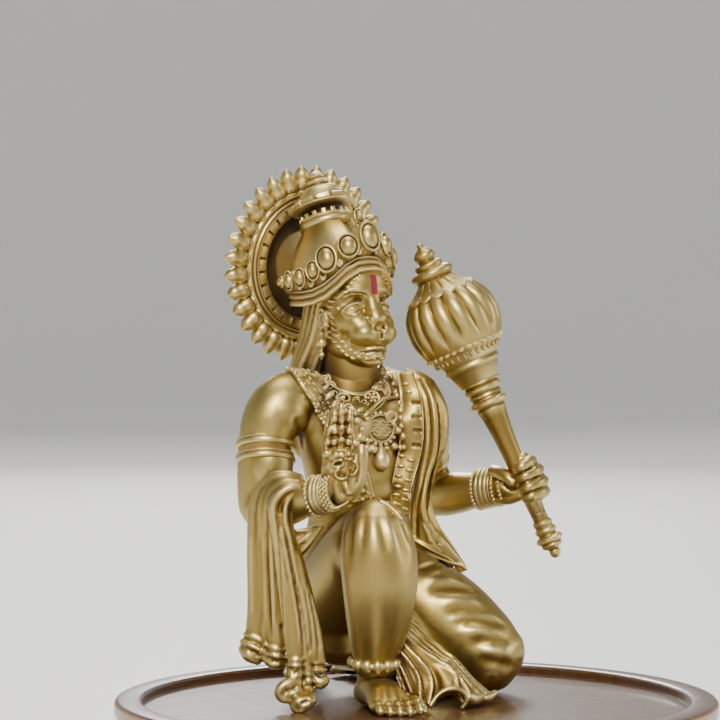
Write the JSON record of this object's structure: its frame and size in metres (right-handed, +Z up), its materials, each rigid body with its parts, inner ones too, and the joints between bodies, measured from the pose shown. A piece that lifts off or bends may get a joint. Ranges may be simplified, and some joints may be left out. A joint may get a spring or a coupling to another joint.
{
  "type": "hanuman figure",
  "caption": "Small kneeling guardian with a monkey's face, a tall jewelled crown, a beaded halo, a mace and a draped scarf, cast in gold-coloured metal on a round turned wooden plinth.",
  "frame": {"origin": "centre of the plinth's underside, on the surface that the plinth stands on", "axes": "+Z up; the figure faces -Y and its raised right hand is on the -X side"},
  "size_m": [0.1204, 0.1204, 0.1198],
  "materials": {
    "gold_metal": "satin antique gold, darker in the recesses",
    "dark_wood": "dark brown polished wood, lighter on the turned side"
  },
  "bodies": {
    "root": {"figure": "gold_metal", "plinth": "dark_wood"}
  },
  "joints": []
}
